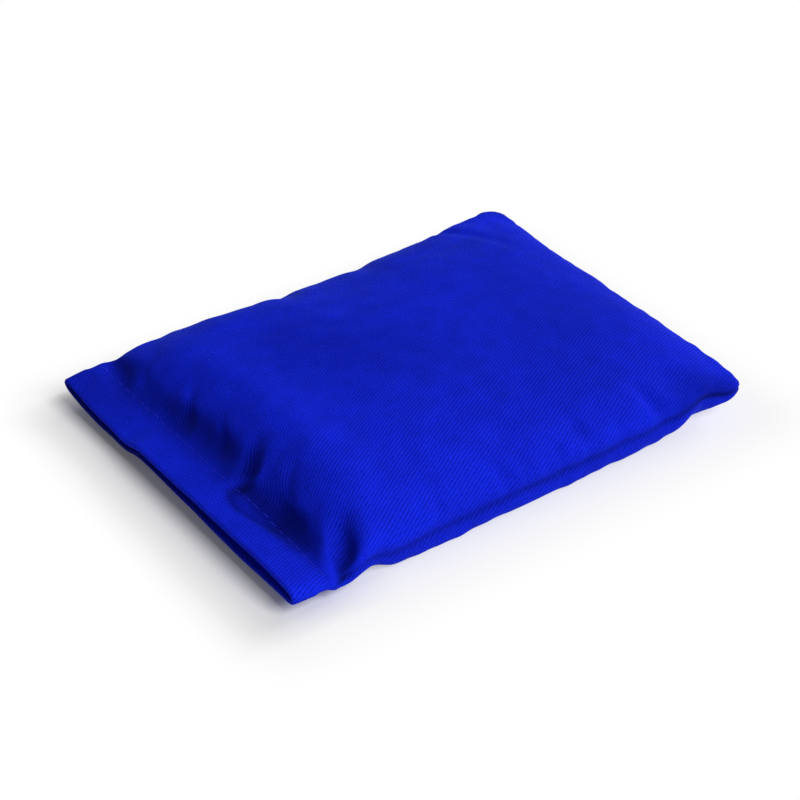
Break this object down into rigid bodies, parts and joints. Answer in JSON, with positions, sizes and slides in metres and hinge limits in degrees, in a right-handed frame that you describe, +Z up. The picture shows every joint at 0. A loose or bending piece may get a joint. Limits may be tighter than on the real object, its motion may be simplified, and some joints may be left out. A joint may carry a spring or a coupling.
{
  "type": "bean bag",
  "caption": "Flat rectangular filled cloth bag of blue twill, closed across one end by a stitched hem, for tossing, balancing or use as a small weight.",
  "frame": {"origin": "centre of the bag's bounding box, on the floor it lies on", "axes": "+X along the bag's length, from the stitched hem to the far seam; +Y across its width; +Z up"},
  "size_m": [0.15, 0.114, 0.026],
  "materials": {
    "twill_cover": "matt royal blue cotton twill, diagonal rib"
  },
  "bodies": {
    "root": {"bean_bag": "twill_cover"}
  },
  "joints": []
}
